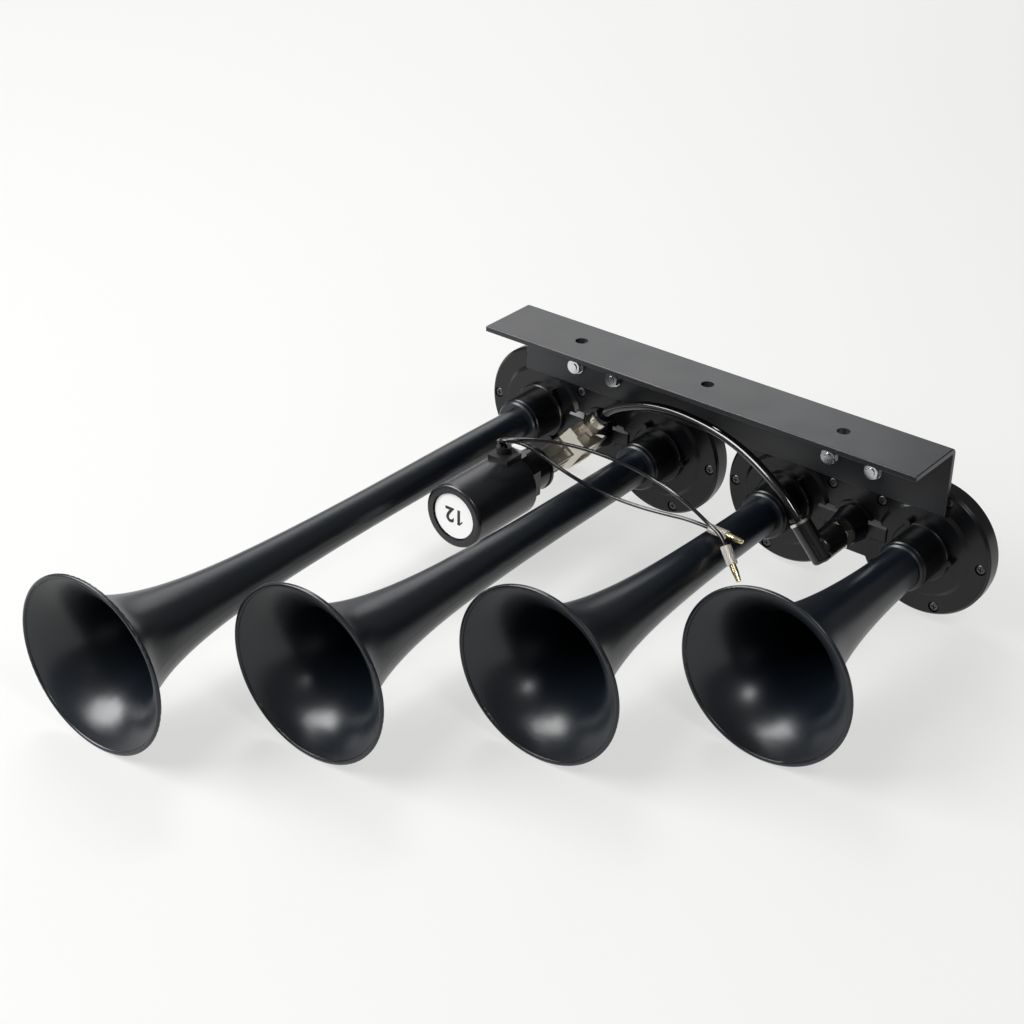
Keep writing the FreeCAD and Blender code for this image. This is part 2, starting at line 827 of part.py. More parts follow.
def valve_passages():
    """Inlet, seat, main passage to the port, outlet to the push-in fitting, and the plunger's bore."""
    x, z = valve_x, port_z
    seat_y = neck_front_y + seat_ring_height + orifice_length
    thread_end = neck_front_y - neck_thread_length
    chamber = guide_radius - guide_wall
    flange = guide_flange_radius + socket_clearance
    well = rod_y(chamber, x, z, neck_front_y, neck_front_y + seat_ring_height)
    inlet_y = port_y - inlet_setback
    outlet_y = port_y - outlet_setback
    bottom = -block_half_height
    return [
        rod_y(air_bore_radius, x, z, seat_y, port_y + spigot_length + overrun),
        rod_y(orifice_radius, x, z, neck_front_y, seat_y + overrun),
        rod_y(chamber, x, z, thread_end - overrun, neck_front_y),
        well.cut(rod_y(seat_ring_radius, x, z, neck_front_y, neck_front_y + seat_ring_height)),
        rod_y(flange, x, z, thread_end - overrun, thread_end + guide_flange_length),
        valve_rod(inlet_radius, bottom - overrun, bottom + inlet_depth, inlet_y),
        rod(feed_radius, valve_point(-feed_offset, 0, inlet_y), valve_point(-feed_offset, 0, neck_front_y)),
        valve_rod(outlet_thread_radius, block_top - outlet_thread_depth, block_top + overrun, outlet_y),
        valve_rod(outlet_bore_radius, 0, block_top, outlet_y),
    ]


def valve_body():
    return cut(valve_casting(), valve_pockets() + valve_passages())


def plunger_pieces():
    """Guide tube with its fixed core, and the plunger with its seal at the closed position."""
    x, z = valve_x, port_z
    seat_y = neck_front_y
    guide_rear = neck_front_y - neck_thread_length + guide_flange_length
    guide_front = coil_floor_y + coil_wall
    bore = guide_radius - guide_wall
    guide = rod_y(guide_radius, x, z, guide_front, guide_rear)
    flange = rod_y(guide_flange_radius, x, z, guide_rear - guide_flange_length, guide_rear)
    guide = join([guide, flange]).cut(rod_y(bore, x, z, guide_front + guide_wall, guide_rear + overrun))
    save("guide_tube", guide)
    plunger_radius = bore - plunger_clearance
    plunger_rear = seat_y - seal_thickness / 2
    plunger_front = plunger_rear - plunger_length
    body = rod_y(plunger_radius, x, z, plunger_front, plunger_rear)
    well = rod_y(spring_well_radius, x, z, plunger_front - overrun, plunger_front + spring_well_depth)
    recess = rod_y(seal_radius, x, z, plunger_rear - seal_thickness / 2, plunger_rear + overrun)
    save("plunger", cut(body, [well, recess]))
    save("plunger_seal", rod_y(seal_radius, x, z, plunger_rear - seal_thickness / 2, seat_y))
    core_rear = plunger_front - plunger_travel
    core = rod_y(bore, x, z, guide_front + guide_wall, core_rear)
    spring_front = core_rear - core_well_depth
    save("fixed_core", core.cut(rod_y(spring_well_radius, x, z, spring_front, core_rear + overrun)))
    spring_rear = plunger_front + spring_well_depth
    save("plunger_spring", spring_sleeve(x, z, spring_front, spring_rear))


def spring_sleeve(x, z, y_front, y_rear):
    """The hidden spring, as a plain sleeve that fills the space of its turns between its seats."""
    inner = spring_coil_radius - spring_wire_radius
    sleeve = rod_y(spring_coil_radius + spring_wire_radius, x, z, y_front, y_rear)
    return sleeve.cut(rod_y(inner, x, z, y_front - overrun, y_rear + overrun))


def coil_pieces():
    """Round shell with a rounded rim, its winding, and the plain white disc in the front recess."""
    x, z = valve_x, port_z
    origin = V(x, coil_front_y, z)
    r = coil_radius
    bore = guide_radius + coil_bore_clearance
    outer = [
        (bore, coil_recess_depth),
        (coil_recess_radius, coil_recess_depth),
        (coil_recess_radius, 0),
        (r - coil_round, 0),
        quarter(coil_round, r - coil_round, coil_round, 1, -1),
        (r, coil_round),
        (r, coil_length - coil_round / 2),
        quarter(coil_round / 2, r - coil_round / 2, coil_length - coil_round / 2, 1, 1),
        (r - coil_round / 2, coil_length),
        (bore, coil_length),
    ]
    hollow_front = coil_recess_depth + coil_wall
    hollow_rear = coil_length - coil_wall
    inside = rod_y(r - coil_wall, x, z, coil_front_y + hollow_front, coil_front_y + hollow_rear)
    cavity = inside.cut(rod_y(bore + bobbin_wall, x, z, coil_front_y, coil_rear_y))
    shell = turned(outer, origin, REAR)
    save("coil_shell", shell.cut(cavity))
    save("coil_winding", cavity.copy())
    save("coil_disc", rod_y(label_radius, x, z, coil_floor_y - label_thickness, coil_floor_y))
    bonnet()


def bonnet():
    """Hexagonal bonnet nut behind the coil, with a round ring and a raised rim at its rear."""
    x, z = valve_x, port_z
    hex_rear = coil_rear_y + bonnet_hex_length
    ring_rear = neck_front_y
    body = hexagon(bonnet_hex_across, V(x, coil_rear_y, z), REAR, bonnet_hex_length)
    ring = rod_y(bonnet_ring_radius, x, z, hex_rear, ring_rear)
    rim = rod_y(bonnet_rim_radius, x, z, ring_rear - bonnet_rim_length, ring_rear)
    solid = join([body, ring, rim])
    thread = neck_thread_radius + socket_clearance
    tools = [rod_y(guide_radius + socket_clearance, x, z, coil_rear_y - overrun, ring_rear)]
    tools.append(rod_y(thread, x, z, ring_rear - neck_thread_length, ring_rear + overrun))
    save("bonnet_nut", cut(solid, tools))


# Terminal boot with its grommet, and the small cover beside it
def boot_pieces():
    x = valve_x + boot_x
    y = face_y - boot_y
    top = port_z + coil_radius + boot_rise
    base = port_z + coil_radius - boot_rise
    wide, long = boot_width / 2, boot_length / 2
    body = block(x - wide, x + wide, y - long, y + long, base - boot_rise, top)
    gx = x - grommet_offset
    gy = y + grommet_offset
    post = rod(grommet_neck_radius, V(gx, gy, top), V(gx, gy, top + grommet_groove))
    head = rod(grommet_radius, V(gx, gy, top + grommet_groove), V(gx, gy, top + grommet_height))
    solid = join([body, post, head])
    tools = [rod_y(coil_radius, valve_x, port_z, coil_front_y, coil_rear_y)]
    hole = lead_radius + lead_hole_clearance
    for sx in lead_exits():
        tools.append(rod(hole, V(sx, gy, top), V(sx, gy, top + grommet_height + overrun)))
    save("terminal_boot", cut(solid, tools))
    tab_y0 = y + long
    tab_y1 = tab_y0 + cover_tab_length
    tab_x = x + boot_width / 2 - cover_tab_width / 2
    tab = block(
        tab_x - cover_tab_width / 2,
        tab_x + cover_tab_width / 2,
        tab_y0,
        tab_y1,
        base - boot_rise,
        port_z + coil_radius + cover_tab_rise,
    )
    rising = [edge for edge in tab.Edges if abs(edge.Vertexes[0].Z - edge.Vertexes[-1].Z) > boot_rise]
    tab = tab.makeFillet(cover_tab_round, rising)
    coil = rod_y(coil_radius, valve_x, port_z, coil_front_y, coil_rear_y + cover_tab_length)
    save("terminal_cover", tab.cut(coil))


def lead_exits():
    middle = valve_x + boot_x - grommet_offset
    return [middle - lead_half_gap, middle + lead_half_gap]


# Push-in fittings: body with its hex, seal ring and release collet, all along one direction
def release_collet(mouth, along):
    """Collet whose flange stands clear of the mouth by its travel and a little more."""
    flange_start = mouth + along * (collet_travel + collet_stop_gap)
    sleeve = rod(collet_sleeve_radius - collet_fit, mouth - along * collet_depth, flange_start)
    flange = rod(collet_flange_radius, flange_start, flange_start + along * collet_flange_length)
    bore_start = mouth - along * (collet_depth + overrun)
    bore = rod(tube_radius + tube_fit, bore_start, flange_start + along * (collet_flange_length + overrun))
    return join([sleeve, flange]).cut(bore)


def seal_ring(mouth, along):
    """Rubber ring behind the collet's full travel."""
    centre = mouth - along * (collet_depth + collet_travel + seal_ring_radius + collet_fit)
    radius = tube_radius + seal_ring_radius + tube_fit
    return Part.makeTorus(radius, seal_ring_radius, centre, along)


def barrel_bores(mouth, along, stop):
    """The stepped hole for the tube, the seal ring and the collet."""
    pocket_end = mouth - along * (collet_depth + collet_travel + 2 * seal_ring_radius + 2 * collet_fit)
    pocket = rod(tube_radius + 2 * seal_ring_radius + 2 * tube_fit, pocket_end, mouth - along * collet_depth)
    sleeve = rod(collet_sleeve_radius, mouth - along * (collet_depth + overrun), mouth + along * overrun)
    seat = rod(tube_radius + tube_fit, stop, mouth)
    return [pocket, sleeve, seat]


def valve_fitting():
    outward = valve_directions()[0]
    y = port_y - outlet_setback
    base = valve_point(block_top, 0, y)
    hex_top = base + outward * fitting_hex_height
    mouth = hex_top + outward * fitting_body_length
    stop = base + outward * fitting_stop
    thread = rod(outlet_thread_radius - socket_clearance, base - outward * fitting_thread_length, base)
    nut = chamfered_hexagon(fitting_hex_across, base, outward, fitting_hex_height, nut_chamfer)
    profile = [
        (0, 0),
        (fitting_body_radius, 0),
        (fitting_body_radius, fitting_body_length - fitting_chamfer),
        (fitting_body_radius - fitting_chamfer, fitting_body_length),
        (0, fitting_body_length),
    ]
    body = join([thread, nut, turned(profile, hex_top, outward)])
    bore = rod(tube_bore_radius, base - outward * (fitting_thread_length + overrun), stop)
    save("fitting_body", cut(body, [bore] + barrel_bores(mouth, outward, stop)))
    save("fitting_seal", seal_ring(mouth, outward))
    save("fitting_collet", release_collet(mouth, outward))
    return stop, mouth, outward


def elbow_fitting():
    x, z = elbow_x, port_z
    hex_front = port_y - elbow_hex_height
    thread = rod_y(spigot_radius - socket_clearance, x, z, port_y, port_y + elbow_thread_length)
    nut = chamfered_hexagon(elbow_hex_across, V(x, hex_front, z), REAR, elbow_hex_height, nut_chamfer)
    body_rear = hex_front - elbow_gap
    body_front = body_rear - elbow_body_length
    centre = V(x, face_y - elbow_barrel_centre, z)
    post_front = centre.y + elbow_barrel_radius
    post = rod_y(elbow_post_radius, x, z, post_front, hex_front)
    air = rod_y(air_bore_radius, x, z, post_front - overrun, port_y + elbow_thread_length + overrun)
    save("elbow_stud", join([thread, nut, post]).cut(air))
    turn = math.radians(elbow_turn)
    along = V(math.cos(turn), 0, math.sin(turn))
    profile = [
        (0, 0),
        (elbow_radius, 0),
        (elbow_radius, elbow_body_length - elbow_round),
        quarter(elbow_round, elbow_radius - elbow_round, elbow_body_length - elbow_round, 1, 1),
        (elbow_radius - elbow_round, elbow_body_length),
        (0, elbow_body_length),
    ]
    body = turned(profile, V(x, body_rear, z), -REAR)
    mouth = centre + along * elbow_barrel_reach
    band_end = mouth
    band_start = mouth - along * elbow_band_length
    tail = elbow_barrel_tail
    corner = elbow_barrel_round
    barrel_profile = [
        (0, -tail),
        (elbow_barrel_radius - corner, -tail),
        quarter(corner, elbow_barrel_radius - corner, corner - tail, 1, -1),
        (elbow_barrel_radius, corner - tail),
        (elbow_barrel_radius, elbow_barrel_reach - elbow_band_length),
        (0, elbow_barrel_reach - elbow_band_length),
    ]
    barrel = turned(barrel_profile, centre, along)
    throat = rod(elbow_barrel_radius - fitting_chamfer, band_start, band_end)
    stop = centre + along * elbow_stop
    tools = [rod_y(elbow_post_radius + socket_clearance, x, z, post_front, body_rear + overrun)]
    tools.append(rod_y(air_bore_radius, x, z, centre.y, post_front + overrun))
    tools.append(rod(tube_bore_radius, centre, stop))
    save("elbow_body", cut(join([body, barrel, throat]), tools + barrel_bores(mouth, along, stop)))
    band = rod(elbow_band_radius, band_start, band_end)
    save("elbow_band", band.cut(rod(elbow_barrel_radius - fitting_chamfer, band_start, band_end)))
    save("elbow_seal", seal_ring(mouth, along))
    save("elbow_collet", release_collet(mouth, along))
    return stop, mouth, along


# Free tube and leads: straight runs joined by tangent arcs
def route(name, points, radius, bore):
    """A round tube along a route, with each arc as large as its two runs allow."""
    edges = []
    length = 0
    radii = []
    cursor = points[0]
    for before, here, after in zip(points, points[1:], points[2:]):
        arrive = (here - before).normalize()
        leave = (after - here).normalize()
        half = arrive.getAngle(leave) / 2
        reach = bend_share * min((here - before).Length, (after - here).Length)
        bend = reach / math.tan(half)
        radii.append(round(bend / (2 * radius), 1))
        start = here - arrive * reach
        end = here + leave * reach
        inward = (leave - arrive).normalize()
        middle = here + inward * (bend / math.cos(half) - bend)
        edges.append(line(cursor, start))
        edges.append(Part.Arc(start, middle, end).toShape())
        length += (start - cursor).Length + 2 * half * bend
        cursor = end
    edges.append(line(cursor, points[-1]))
    length += (points[-1] - cursor).Length
    path = Part.Wire(edges)
    along = points[1] - points[0]

    def pipe(r):
        section = Part.Wire([Part.makeCircle(r, points[0], along)])
        return path.makePipeShell([section], True, False)

    solid = pipe(radius)
    area = math.pi * radius ** 2
    if bore:
        solid = solid.cut(pipe(bore))
        area -= math.pi * bore ** 2
    share = solid.Volume / (area * length)
    print("%s length %.1f, volume over section times length %.4f" % (name, length, share))
    print("%s radii in diameters %s" % (name, radii))
    return solid


def at(x, y, z):
    """A place given from the housings' front face on the pair's height, as the routes are."""
    return V(x, face_y + y, z)


def air_tube(stop_a, mouth_a, along_a, stop_b, mouth_b, along_b):
    points = [
        stop_a,
        mouth_a + along_a * tube_lead_in,
        at(-79.5, -22.4, -46.8),
        at(-67.0, -23.4, -40.0),
        at(-48.5, -24.8, -32.9),
        at(-26.0, -27.0, -29.2),
        at(-2.5, -30.2, -28.6),
        at(21.5, -34.4, -30.2),
        at(44.0, -39.0, -35.2),
        at(65.5, -43.6, -44.2),
        mouth_b + along_b * tube_lead_out,
        stop_b,
    ]
    save("air_tube", route("air_tube", points, tube_radius, tube_bore_radius))


def leads():
    exit_a, exit_b = lead_exits()
    gy = -boot_y + grommet_offset
    seat = port_z + coil_radius + boot_rise
    bend = seat + grommet_height + lead_rise
    route_a = [
        at(exit_a, gy, seat),
        at(exit_a, gy, bend),
        at(-107.4, -117.8, -43.6),
        at(-101.0, -121.8, -39.2),
        at(-93.1, -119.2, -38.0),
        at(-84.7, -113.9, -41.0),
        at(-74.5, -108.7, -47.9),
        at(-62.0, -104.0, -56.0),
        at(-46.8, -99.6, -62.8),
        at(-28.0, -96.8, -66.4),
        at(-6.0, -95.2, -67.1),
        at(16.5, -94.1, -65.4),
        at(34.1, -93.8, -62.8),
        at(49.5, -92.8, -63.9),
    ]
    route_b = [
        at(exit_b, gy, seat),
        at(exit_b, gy, bend),
        at(-104.7, -115.5, -43.6),
        at(-101.2, -117.8, -40.4),
        at(-94.2, -116.2, -38.4),
        at(-84.3, -111.9, -37.0),
        at(-71.5, -103.9, -37.3),
        at(-56.0, -93.0, -40.8),
        at(-39.5, -82.4, -47.0),
        at(-21.0, -75.4, -53.0),
        at(-2.0, -74.4, -57.0),
        at(18.7, -80.5, -58.7),
        at(38.0, -90.3, -57.9),
        at(53.0, -98.7, -57.9),
        at(64.1, -101.7, -59.6),
        at(69.5, -104.3, -64.8),
    ]
    for name, points in (("a", route_a), ("b", route_b)):
        save("lead_" + name, route("lead_" + name, points, lead_radius, 0))
        connector(name, points[-1], (points[-1] - points[-2]).normalize())


def connector(name, start, along):
    """Clear oval sleeve over the crimp, lying flat, and the bullet that stands out of it."""
    flat = UP.cross(along).normalize()
    wide = start + flat * sleeve_half_width
    high = start + along.cross(flat) * sleeve_half_height
    oval = Part.Ellipse(wide, high, start).toShape()
    sleeve = Part.Face(Part.Wire([oval])).extrude(along * sleeve_length)
    crimp_end = start + along * (sleeve_length + overrun)
    crimp = rod(bullet_neck_radius, start - along * overrun, crimp_end)
    save("sleeve_" + name, sleeve.cut(crimp))
    tip = sleeve_length + bullet_length
    profile = [
        (0, 0),
        (bullet_neck_radius, 0),
        (bullet_neck_radius, sleeve_length),
        (bullet_radius, sleeve_length),
        (bullet_radius, sleeve_length + bullet_shank),
        (bullet_tip_radius, tip - bullet_nose),
        (bullet_tip_radius - bullet_nose, tip),
        (0, tip),
    ]
    save("bullet_" + name, turned(profile, start, along))


save("angle_bracket", angle_bracket())
bracket_fasteners()
save("housing_left", twin_housing(0))
save("housing_right", twin_housing(2))
save("gaskets", group([gasket(number) for number in range(len(bell_reach))]))
for number in range(len(bell_reach)):
    save("diaphragm_%d" % (number + 1), diaphragm(number))
    save("rear_cover_%d" % (number + 1), rear_cover(number))
    save("trumpet_%d" % (number + 1), trumpet(number))
save("rim_screws", rim_screws())
save("valve_body", valve_body())
plunger_pieces()
coil_pieces()
boot_pieces()
air_tube(*(valve_fitting() + elbow_fitting()))
leads()
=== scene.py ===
import bmesh
import bpy
from mathutils import Matrix, Vector


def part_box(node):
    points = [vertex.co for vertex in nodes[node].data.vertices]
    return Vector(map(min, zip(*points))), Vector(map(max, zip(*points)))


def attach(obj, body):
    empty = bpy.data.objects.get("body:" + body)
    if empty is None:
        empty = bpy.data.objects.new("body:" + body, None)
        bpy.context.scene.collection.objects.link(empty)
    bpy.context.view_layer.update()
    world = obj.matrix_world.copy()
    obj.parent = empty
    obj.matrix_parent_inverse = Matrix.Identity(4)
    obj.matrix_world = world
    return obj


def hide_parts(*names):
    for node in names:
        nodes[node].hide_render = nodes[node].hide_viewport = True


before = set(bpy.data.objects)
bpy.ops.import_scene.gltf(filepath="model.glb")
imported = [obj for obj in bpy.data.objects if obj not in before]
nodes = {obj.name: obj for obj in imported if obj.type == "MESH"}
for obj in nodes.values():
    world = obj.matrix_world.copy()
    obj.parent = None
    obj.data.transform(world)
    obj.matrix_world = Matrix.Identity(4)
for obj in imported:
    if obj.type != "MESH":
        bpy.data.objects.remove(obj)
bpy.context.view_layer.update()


# Table
# The horn lies on a white studio table, on the lips of its bells and the rims of its discs.
# The board is grey under a glow that only sight meets, so that it comes out white with pale
# shadows. For the camera it glows more far away, where the table meets the white backdrop.

def linear(text):
    """A colour written as an sRGB hex value, as Blender's sockets want it."""
    parts = [int(text[i:i + 2], 16) / 255 for i in (1, 3, 5)]
    return [p / 12.92 if p <= 0.04045 else ((p + 0.055) / 1.055) ** 2.4 for p in parts] + [1.0]


def new_material(name, colour, roughness, metallic=0.0):
    """A material whose even values sit on its shader's own sockets."""
    material = bpy.data.materials.new(name)
    material.use_nodes = True
    shader = material.node_tree.nodes["Principled BSDF"]
    shader.inputs["Base Color"].default_value = linear(colour)
    shader.inputs["Roughness"].default_value = roughness
    shader.inputs["Metallic"].default_value = metallic
    return material, shader


def add(owner, kind, settings, links):
    """Adds one node to a material or world, with its settings and its links."""
    node = owner.node_tree.nodes.new(kind)
    for name, value in settings.items():
        if name in node.inputs:
            node.inputs[name].default_value = value
        else:
            setattr(node, name, value)
    for socket, source in links.items():
        owner.node_tree.links.new(source, node.inputs[socket])
    return node


def wire(owner, shader, **sources):
    """Links node outputs to the shader's sockets."""
    for name, source in sources.items():
        owner.node_tree.links.new(source, shader.inputs[name.replace("_", " ")])


fibre_width = 0.0015
fibre_depth = 0.0001
table_glow = 0.6
sweep_glow = 0.2
sweep_start = 0.8
sweep_end = 3.0
board, shader = new_material("matt white board", "#7B7B7A", roughness=0.7)
shader.inputs["Emission Color"].default_value = linear("#FFFFFE")
place = add(board, "ShaderNodeTexCoord", {}, {})
fibre = add(board, "ShaderNodeTexNoise", {"Scale": 1 / fibre_width, "Detail": 2.0},
            {"Vector": place.outputs["Object"]})
tooth = add(board, "ShaderNodeBump", {"Strength": 0.1, "Distance": fibre_depth},
            {"Height": fibre.outputs["Fac"]})
ray = add(board, "ShaderNodeLightPath", {}, {})
mirrored = add(board, "ShaderNodeMath", {"operation": "MAXIMUM"},
               {0: ray.outputs["Is Camera Ray"], 1: ray.outputs["Is Glossy Ray"]})
in_sight = add(board, "ShaderNodeMath", {"operation": "MAXIMUM"},
               {0: mirrored.outputs["Value"], 1: ray.outputs["Is Transmission Ray"]})
glow = add(board, "ShaderNodeMapRange", {"To Max": table_glow},
           {"Value": in_sight.outputs["Value"]})
away = add(board, "ShaderNodeVectorMath", {"operation": "LENGTH"},
           {"Vector": place.outputs["Object"]})
sweep = add(board, "ShaderNodeMapRange",
            {"interpolation_type": "SMOOTHSTEP", "From Min": sweep_start, "From Max": sweep_end,
             "To Max": sweep_glow}, {"Value": away.outputs["Value"]})
far = add(board, "ShaderNodeMath", {"operation": "MULTIPLY"},
          {0: sweep.outputs["Result"], 1: ray.outputs["Is Camera Ray"]})
level = add(board, "ShaderNodeMath", {"operation": "ADD"},
            {0: glow.outputs["Result"], 1: far.outputs["Value"]})
wire(board, shader, Normal=tooth.outputs["Normal"], Emission_Strength=level.outputs["Value"])

table_reach = 9.0
table_height = -0.1330
table_rise_x = -0.0211
table_rise_y = 0.02688
top = bmesh.new()
bmesh.ops.create_grid(top, x_segments=1, y_segments=1, size=table_reach)
for vert in top.verts:
    vert.co.z = table_height + table_rise_x * vert.co.x + table_rise_y * vert.co.y
table_mesh = bpy.data.meshes.new("table")
top.to_mesh(table_mesh)
top.free()
table_mesh.materials.append(board)
table = bpy.data.objects.new("table", table_mesh)
bpy.context.scene.collection.objects.link(table)


# Studio
# The main soft box stands at the left front, smaller ones hang overhead and at the right, and a
# pale screen stands at the left rear. The room is dim, and nearly white only to the camera,
# which looks from the right front.

for name, stand, target, width, height, watts in (
    ("soft box left front", (-1.40, -1.59, 1.41), (0.0, -0.3, -0.08), 1.80, 1.30, 94),
    ("small soft box right", (0.95, -0.65, 1.20), (0.1, -0.25, -0.08), 0.35, 0.35, 7),
    ("pale screen left rear", (-1.12, 1.30, 0.85), (0.0, -0.1, -0.05), 1.3, 0.9, 6),
    ("soft box overhead", (-0.92, 0.28, 1.46), (0.0, 0.0, -0.03), 0.7, 0.4, 12),
):
    light = bpy.data.lights.new(name, "AREA")
    light.shape = "RECTANGLE"
    light.size = width
    light.size_y = height
    light.energy = watts
    lamp = bpy.data.objects.new(name, light)
    bpy.context.scene.collection.objects.link(lamp)
    lamp.location = stand
    lamp.rotation_euler = (Vector(target) - Vector(stand)).to_track_quat("-Z", "Y").to_euler()

room_strength = 0.19
backdrop_strength = 0.93
room = bpy.data.worlds.new("studio room")
room.use_nodes = True
background = room.node_tree.nodes["Background"]
background.inputs["Color"].default_value = linear("#FFFFFF")
ray = add(room, "ShaderNodeLightPath", {}, {})
strength = add(room, "ShaderNodeMapRange", {"To Min": room_strength, "To Max": backdrop_strength},
               {"Value": ray.outputs["Is Camera Ray"]})
wire(room, background, Strength=strength.outputs["Result"])
bpy.context.scene.world = room

camera_stand = Vector((0.6667, -1.0761, 0.6183))
camera_right = Vector((0.7852, 0.6190, 0.0191))
camera_up = Vector((-0.3204, 0.3796, 0.8679))
camera_data = bpy.data.cameras.new("camera")
camera_data.sensor_width = 36.0
camera_data.lens = 73.56
camera_data.clip_start = 0.05
camera_data.clip_end = 50.0
camera = bpy.data.objects.new("camera", camera_data)
bpy.context.scene.collection.objects.link(camera)
turn = Matrix((camera_right, camera_up, camera_right.cross(camera_up))).transposed()
camera.matrix_world = Matrix.Translation(camera_stand) @ turn.to_4x4()
bpy.context.scene.camera = camera
bpy.context.scene.view_settings.view_transform = "Standard"


# Bracket
# A bent steel angle with three mounting holes, powder coated in satin black. Baked powder flows
# into a fine orange peel about a millimetre across, and dulls the light a little.

patch_width = 0.028
patch_smoother = 0.05
patch_rougher = 0.07


def dress(material, *names):
    """Gives CAD nodes their real material."""
    for name in names:
        nodes[name].data.materials.clear()
        nodes[name].data.materials.append(material)


def coated(name, colour, roughness, peel, depth, gloss):
    """A painted or moulded skin: peel of a real width, and patches that shine less."""
    material, shader = new_material(name, colour, roughness)
    shader.inputs["Specular IOR Level"].default_value = gloss
    place = add(material, "ShaderNodeTexCoord", {}, {})
    patch = add(material, "ShaderNodeTexNoise", {"Scale": 1 / patch_width, "Detail": 3.0},
                {"Vector": place.outputs["Object"]})
    dull = add(material, "ShaderNodeMapRange",
               {"To Min": roughness - patch_smoother, "To Max": roughness + patch_rougher},
               {"Value": patch.outputs["Fac"]})
    grain = add(material, "ShaderNodeTexNoise", {"Scale": 1 / peel, "Detail": 2.0},
                {"Vector": place.outputs["Object"]})
    relief = add(material, "ShaderNodeBump", {"Strength": 0.35, "Distance": depth},
                 {"Height": grain.outputs["Fac"]})
    wire(material, shader, Roughness=dull.outputs["Result"], Normal=relief.outputs["Normal"])
    return material


powder_coat = coated("satin black powder coat", "#14161A", roughness=0.33,
                     peel=0.0011, depth=0.00003, gloss=0.5)
dress(powder_coat, "angle_bracket")


# Housings and rear covers
# Each housing is one casting of two discs with hubs, web and ear, spray painted black.
# Its skin is smoother than the bracket's, with a faint casting texture under the paint.

housing_paint = coated("black paint on zinc casting", "#08090B", roughness=0.23,
                       peel=0.0016, depth=0.00002, gloss=0.36)
dress(housing_paint, "housing_left", "housing_right",
      "rear_cover_1", "rear_cover_2", "rear_cover_3", "rear_cover_4")


# Diaphragms and gaskets
# A thin rolled spring steel plate and a rubber ring lie between each disc and its cover.
# Only their rims could show, so both have their plain stock finish.

marks_smoother = 0.75
marks_rougher = 1.3


def rolled(name, colour, roughness, grain, depth, metallic=1.0):
    """Metal with fine marks of a real width from its making, and the uneven shine they give."""
    material, shader = new_material(name, colour, roughness, metallic)
    place = add(material, "ShaderNodeTexCoord", {}, {})
    marks = add(material, "ShaderNodeTexNoise", {"Scale": 1 / grain, "Detail": 4.0},
                {"Vector": place.outputs["Object"]})
    dull = add(material, "ShaderNodeMapRange",
               {"To Min": roughness * marks_smoother, "To Max": roughness * marks_rougher},
               {"Value": marks.outputs["Fac"]})
    relief = add(material, "ShaderNodeBump", {"Strength": 0.3, "Distance": depth},
                 {"Height": marks.outputs["Fac"]})
    wire(material, shader, Roughness=dull.outputs["Result"], Normal=relief.outputs["Normal"])
    return material


spring_steel = rolled("rolled spring steel", "#8C8E92", roughness=0.3,
                      grain=0.0004, depth=0.00001)
dress(spring_steel, "diaphragm_1", "diaphragm_2", "diaphragm_3", "diaphragm_4", "plunger_spring")

rubber = coated("moulded black rubber", "#131314", roughness=0.5,
                peel=0.0006, depth=0.00004, gloss=0.4)
dress(rubber, "gaskets", "fitting_seal", "elbow_seal", "plunger_seal")


# Bolts, nuts, washers and rim screws
# Zinc plated steel, bright with a faint blue on the bracket's bolts and passivated black on the
# rim screws. Its fine crystals scatter the light a little.

zinc_plate = rolled("bright zinc plate", "#C9CCCE", roughness=0.14,
                    grain=0.0005, depth=0.00002)
dress(zinc_plate, "bracket_bolts", "bracket_nuts", "bracket_washers")

black_zinc = rolled("black passivated zinc plate", "#56575A", roughness=0.34,
                    grain=0.0005, depth=0.00002)
dress(black_zinc, "rim_screws")


# Trumpets
# Four thin metal trumpets of different length, enamelled black inside and out. Stoved enamel is
# smooth and half glossy, and mirrors the pale studio as soft blue grey patches.

enamel = coated("stoved black enamel", "#0B1118", roughness=0.3,
                peel=0.0007, depth=0.000008, gloss=0.5)
dress(enamel, "trumpet_1", "trumpet_2", "trumpet_3", "trumpet_4")


# Valve
# The body is a zinc die casting, left bare: pale, with a dull skin where it met the mould.
# Inside are the steel guide tube, core and plunger.

casting = rolled("bare zinc die casting", "#D8D3C6", roughness=0.36,
                 grain=0.0012, depth=0.00006)
dress(casting, "valve_body")

turned_steel = rolled("turned magnetic steel", "#A9ABAD", roughness=0.28,
                      grain=0.0003, depth=0.00001)
dress(turned_steel, "guide_tube", "fixed_core", "plunger")


# Coil
# The winding is moulded into a black resin shell, glossy from a polished mould. Its front
# recess holds a white disc, and a nylon nut behind it clamps it to the valve. The terminals'
# boot is rubber.

resin = coated("moulded black resin", "#15161A", roughness=0.27,
               peel=0.0030, depth=0.00003, gloss=0.5)
dress(resin, "coil_shell")

nylon = coated("moulded black nylon", "#0E0E10", roughness=0.22,
               peel=0.0014, depth=0.00002, gloss=0.5)
dress(nylon, "bonnet_nut", "elbow_body", "fitting_collet", "elbow_collet")

copper = rolled("enamelled copper wire", "#B4653A", roughness=0.25,
                grain=0.0008, depth=0.00002)
dress(copper, "coil_winding")

dress(rubber, "terminal_boot")


# Label
# A disc of white vinyl film in the coil's front recess, with plain printed figures that stand
# head down, as in the photograph. The font's 1 is a bare stem, so a slanted flag is added.

film_grain = 0.0004
film_grain_depth = 0.00002


